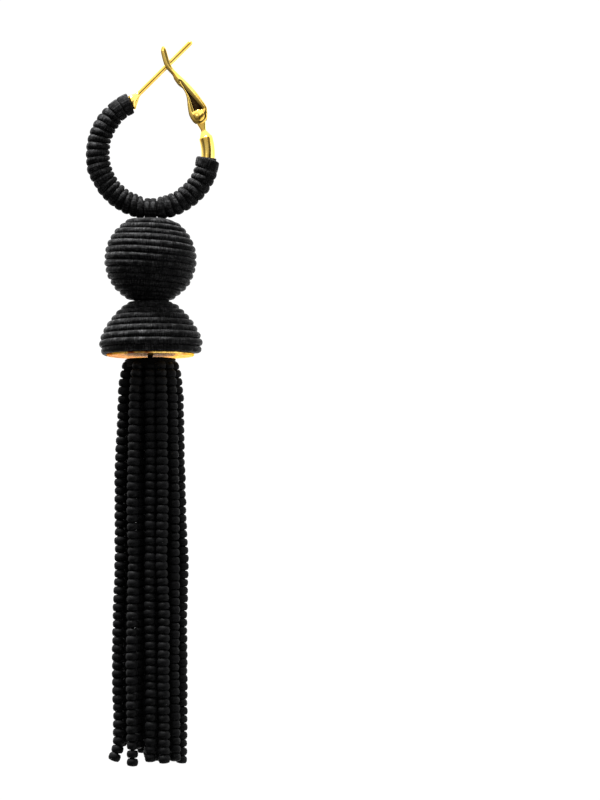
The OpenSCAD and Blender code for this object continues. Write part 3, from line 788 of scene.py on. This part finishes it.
wound_ball = joined("wound_cord_ball", [
    moved(ball_cord, ball_middle, BALL_LEAN),
    moved(former_mesh(ball_arc, FORMER_DEPTH - BALL_CORD / 2), ball_middle),
], black_cord)
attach(wound_ball, "drop")
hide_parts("wound_ball")

# Wound dome: a bell-shaped former covered with the same cord from the hole in its top down and
# round the rim. Its turns run nearly level, falling a little to the left in front.
DOME_R, DOME_H = 0.0088, 0.0087
DOME_FLANK = 1.33
DOME_TOP_ANGLE, DOME_RIM_ANGLE = math.radians(57), math.radians(16)
DOME_TURNS = 8
DOME_ASIDE = 0.0001
dome_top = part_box("wound_dome")[0].z + DOME_H
dome_share = math.sin(DOME_TOP_ANGLE)**DOME_FLANK
dome_rise = DOME_H / (dome_share + math.sin(DOME_RIM_ANGLE)**DOME_FLANK)
dome_middle = (swing.x + DOME_ASIDE, 0, dome_top - dome_rise * dome_share)
dome_arc = arc(DOME_R + CREST - BALL_CORD / 2, dome_rise - BALL_CORD / 2, DOME_TOP_ANGLE,
    -DOME_RIM_ANGLE, DOME_FLANK)
dome_coil = np.linspace(COIL_R, dome_arc[0, 0], COIL_STEPS)[:-1]
dome_coil = np.stack([dome_coil, np.full_like(dome_coil, dome_arc[0, 1])], -1)
dome_curve = np.concatenate([dome_coil, dome_arc])
dome_turn = np.linalg.norm(np.diff(dome_arc, axis=0), axis=1).sum() / DOME_TURNS
dome_run = wound_form(dome_curve, dome_turn, BALL_CORD, handed=-1, tilt_share=0.4)
dome_cord = cord_mesh([dome_run], **WOUND_CORD)
wound_dome = joined("wound_cord_dome", [
    moved(dome_cord, dome_middle),
    moved(former_mesh(dome_arc, FORMER_DEPTH - BALL_CORD / 2), dome_middle),
], black_cord)
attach(wound_dome, "drop")
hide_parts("wound_dome")

# Base plate: a disc of gold-plated brass with a rolled edge under the dome, rubbed and a little
# dented, so that it mirrors in warm patches. Its dark red-brown clouds, which grow towards its
# left edge, are a painted reflection.
# The dents grow fainter from the plate's left edge to its middle
DENTS_X = (-0.009, 0)
DENTS_LEFT, DENTS_MIDDLE = 1.0, 0.45
rubbed_gold_painted_reflection = gold_finish("rubbed_gold_painted_reflection", (1, 0.66, 0.16, 1), (0.3, 0.07, 0.015, 1), cloud_scale=700.0,
    warmth=1.0, polish=0.28, dents=DENTS_LEFT, depth=0.0012, edge=(1, 0.5, 0.05, 1))
plate_tree = rubbed_gold_painted_reflection.node_tree
# Painted reflection: the dark deep tone drifts towards the plate's left edge
plate_tree.nodes["Group"].inputs["Drift"].default_value = 20
plate_place = add(plate_tree, "ShaderNodeTexCoord").outputs["Object"]
plate_aside = add(plate_tree, "ShaderNodeSeparateXYZ", {0: plate_place}).outputs["X"]
plate_dents = soft_step(plate_tree, plate_aside, *DENTS_X, DENTS_LEFT, DENTS_MIDDLE)
plate_tree.links.new(plate_dents, plate_tree.nodes["Bump"].inputs["Strength"])
frame["nodes"]["base_plate"].data.materials.clear()
frame["nodes"]["base_plate"].data.materials.append(rubbed_gold_painted_reflection)

# Bead tassel: strands of black glass beads on thread, gathered into a tied head under the
# plate. The outer strands hang in a ring, the others inside it, and their ends are uneven.
BEAD_PITCH = 0.001385
BEAD_R = 0.00106
TASSEL_L, TASSEL_R = 0.0704, 0.00545
HEAD_R, HEAD_H = 0.0044, 0.0016
# How wide the ring of strands is: shares of the tassel's length, and of its radius there
SPREAD_DOWN = (0.014, 0.045, 0.1, 0.3, 0.72, 1)
SPREAD_OUT = (0.66, 0.8, 0.87, 0.95, 1, 0.97)
# How far below the ring's top the beads begin, as a share of the tassel's length, and how far
# a strand wanders aside, in metres
LEAD = 0.012
SWAY = 0.00014
# The leftmost strand hangs free of the others at its end: how far, and over which share
STRAY = 0.0014
STRAY_FROM, STRAY_SPAN = 0.93, 0.06
# The strands differ this much in their pitch
PITCH_SPREAD = 0.012
# Each strand: its turn round the tassel in degrees, and its shares of the radius and length
STRANDS = (
    (190, 1, 0.985), (238, 0.99, 0.998), (272, 0.82, 0.988), (297, 0.98, 0.991), (325, 0.97, 0.986),
    (352, 1.02, 0.991), (20, 1, 0.983), (47, 0.98, 0.978), (74, 1, 0.983), (103, 0.98, 0.965),
    (133, 1.01, 0.945), (160, 0.99, 0.95), (298, 0.48, 0.984), (356, 0.58, 0.98), (60, 0.48, 0.975),
    (128, 0.5, 0.95), (180, 0.7, 0.94), (232, 0.56, 0.955), (0, 0, 0.98), (95, 0.62, 0.95),
    (25, 0.58, 0.96), (270, 0.42, 0.975),
)
# Half outline of a bead in shares of its radius and of its pitch
BEAD_OUTLINE = ((0.36, 0.54), (0.84, 0.45), (1.01, 0.18), (1.01, -0.18), (0.84, -0.45), (0.36, -0.54))


def bead_mesh(sides=12):
    """One bead, its outline turned round its thread. Its ends are closed."""
    angle = full_turn(sides)
    points = [(BEAD_R * r * math.cos(a), BEAD_R * r * math.sin(a), BEAD_PITCH * z)
        for r, z in BEAD_OUTLINE for a in angle]
    faces = [list(range(sides))]
    for i in range(len(BEAD_OUTLINE) - 1):
        for j in range(sides):
            k = (j + 1) % sides
            faces.append([i * sides + k, i * sides + j, (i + 1) * sides + j, (i + 1) * sides + k])
    faces.append([len(points) - 1 - j for j in range(sides)])
    bead = bpy.data.meshes.new("bead")
    bead.from_pydata(points, [], faces)
    bead.shade_smooth()
    return bead


def strand_tree():
    """Threads beads of slightly uneven size on routes, each route with its own pitch."""
    tree = bpy.data.node_groups.new("thread_beads", "GeometryNodeTree")
    face = tree.interface
    face.new_socket("Geometry", in_out="INPUT", socket_type="NodeSocketGeometry")
    face.new_socket("Bead", in_out="INPUT", socket_type="NodeSocketObject")
    for name in ("Uneven Size", "Lean"):
        face.new_socket(name, in_out="INPUT", socket_type="NodeSocketFloat")
    face.new_socket("Seed", in_out="INPUT", socket_type="NodeSocketInt")
    face.new_socket("Finish", in_out="INPUT", socket_type="NodeSocketMaterial")
    face.new_socket("Geometry", in_out="OUTPUT", socket_type="NodeSocketGeometry")
    given = add(tree, "NodeGroupInput").outputs
    route = add(tree, "GeometryNodeMeshToCurve", {"Mesh": given["Geometry"]})
    pitch = add(tree, "GeometryNodeInputNamedAttribute", {"Name": "pitch"}, data_type="FLOAT")
    spots = add(tree, "GeometryNodeCurveToPoints", {
        "Curve": route.outputs[0], "Length": pitch.outputs[0]}, mode="LENGTH")
    bead = add(tree, "GeometryNodeObjectInfo", {"Object": given["Bead"]})
    upright = add(tree, "FunctionNodeAlignRotationToVector", {"Vector": spots.outputs["Tangent"]},
        axis="Z")
    smallest = math_node(tree, "SUBTRACT", 1.0, given["Uneven Size"])
    size = add(tree, "FunctionNodeRandomValue", {2: smallest, 3: 1.0, "Seed": given["Seed"]},
        data_type="FLOAT")
    placed = add(tree, "GeometryNodeInstanceOnPoints", {
        "Points": spots.outputs[0], "Instance": bead.outputs["Geometry"],
        "Rotation": upright.outputs[0], "Scale": size.outputs[1]})
    tipped = add(tree, "FunctionNodeRandomValue", {
        0: (-1, -1, -3.1), 1: (1, 1, 3.1), "Seed": given["Seed"]}, data_type="FLOAT_VECTOR")
    lean = add(tree, "ShaderNodeVectorMath", {
        0: tipped.outputs[0], 1: add(tree, "ShaderNodeCombineXYZ", {
            "X": given["Lean"], "Y": given["Lean"], "Z": 1.0}).outputs[0]}, operation="MULTIPLY")
    turned = add(tree, "GeometryNodeRotateInstances", {
        "Instances": placed.outputs[0], "Rotation": lean.outputs[0], "Local Space": True})
    tone = add(tree, "FunctionNodeRandomValue", {"Seed": given["Seed"]}, data_type="FLOAT")
    toned = add(tree, "GeometryNodeStoreNamedAttribute", {
        "Geometry": turned.outputs[0], "Name": "bead_tone", "Value": tone.outputs[1]},
        data_type="FLOAT", domain="INSTANCE")
    real = add(tree, "GeometryNodeRealizeInstances", {"Geometry": toned.outputs[0]})
    done = add(tree, "GeometryNodeSetMaterial", {
        "Geometry": real.outputs[0], "Material": given["Finish"]})
    add(tree, "NodeGroupOutput", {"Geometry": done.outputs[0]})
    return tree


def bead_finish(dark=(0.002, 0.002, 0.0022, 1), light=(0.006, 0.006, 0.0065, 1)):
    """Black glass with a matt, finely grained skin. Each bead has its own tone."""
    finish = bpy.data.materials.new("black_glass_beads")
    finish.use_nodes = True
    tree = finish.node_tree
    tone = add(tree, "ShaderNodeAttribute", attribute_name="bead_tone").outputs["Fac"]
    place = add(tree, "ShaderNodeTexCoord").outputs["Object"]
    grain = add(tree, "ShaderNodeTexNoise", {"Vector": place, "Scale": 5200.0, "Detail": 3.0}).outputs[0]
    shade = add(tree, "ShaderNodeMix", {0: tone, 6: dark, 7: light}, data_type="RGBA")
    dull = math_node(tree, "ADD", soft_step(tree, tone, 0, 1, 0.5, 0.66),
        soft_step(tree, grain, 0.3, 0.7, -0.05, 0.08))
    bump = add(tree, "ShaderNodeBump", {"Height": grain, "Distance": 0.00002, "Strength": 0.4})
    shader = tree.nodes["Principled BSDF"]
    tree.links.new(shade.outputs[2], shader.inputs["Base Color"])
    tree.links.new(dull, shader.inputs["Roughness"])
    tree.links.new(bump.outputs[0], shader.inputs["Normal"])
    shader.inputs["Specular IOR Level"].default_value = 0.07
    return finish


head_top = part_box("bead_tassel")[1].z
bead_glass = bead_finish()


def strand_route(turn, reach, length, count=60):
    """Middle line of a strand, wandering a little on its way down."""
    down = np.linspace(SPREAD_DOWN[0] + LEAD, length - 0.5 * BEAD_PITCH / TASSEL_L, count)
    out = TASSEL_R * reach * np.interp(down, SPREAD_DOWN, SPREAD_OUT)
    knots = np.linspace(0, 1, 9)
    freedom = np.minimum(knots * 4, 1)
    sway = [np.interp(down, knots, rng.normal(0, SWAY, len(knots)) * freedom) for _ in (0, 1)]
    angle = math.radians(turn)
    leftmost = turn == STRANDS[0][0]
    stray = -STRAY * leftmost * np.clip((down - STRAY_FROM) / STRAY_SPAN, 0, 1)**2
    x = swing.x + out * math.cos(angle) + sway[0] + stray
    y = out * math.sin(angle) + sway[1]
    return np.stack([x, y, head_top - TASSEL_L * down], -1)


routes = [strand_route(*strand)[::-1] for strand in STRANDS]
strand_lines = bpy.data.meshes.new("strand_lines")
step = len(routes[0])
strand_lines.from_pydata(np.concatenate(routes).tolist(),
    [(s * step + i, s * step + i + 1) for s in range(len(routes)) for i in range(step - 1)], [])
pitches = strand_lines.attributes.new("pitch", "FLOAT", "POINT")
strand_pitch = BEAD_PITCH * rng.normal(1, PITCH_SPREAD, len(routes))
pitches.data.foreach_set("value", np.repeat(strand_pitch, step).astype(np.float32))
pattern_bead = new_object("pattern_bead", bead_mesh())
bead_strands = run_tree(strand_lines, strand_tree(), **{
    "Bead": pattern_bead, "Uneven Size": 0.1, "Lean": 0.12, "Seed": 3, "Finish": bead_glass})
bpy.data.objects.remove(pattern_bead)
HEAD_THREAD = 0.00027
HEAD_DROP = 0.00038
# Painted shade: the head's thread is a darker copy of the cord finish, for the shade under the plate
black_thread_painted_shade = cord_finish("black_thread_painted_shade", count=8.0, dull=(0.0005, 0.0005, 0.0005, 1),
    bright=(0.006, 0.006, 0.006, 1))
head_turns = round(HEAD_H / HEAD_THREAD)
head_curve = np.linspace((HEAD_R - HEAD_THREAD / 2, -HEAD_THREAD / 2),
    (HEAD_R - HEAD_THREAD / 2, HEAD_THREAD / 2 - HEAD_H), 20)
head_run = wound_form(head_curve, HEAD_H / head_turns, HEAD_THREAD, handed=1, tilt_share=0.3)
head_cord = cord_mesh([head_run], Sides=10, Finish=black_thread_painted_shade)
head_core = former_mesh(np.concatenate([head_curve, head_curve[-1:]]), HEAD_THREAD / 2)
head_place = (swing.x, 0, head_top - HEAD_DROP)
tied_head = joined("tied_head", [
    moved(head_cord, head_place),
    moved(head_core, head_place),
], black_thread_painted_shade)
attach(tied_head, "drop")
tassel = joined("seed_bead_strands", [bead_strands], bead_glass)
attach(tassel, "drop")
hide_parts("bead_tassel")
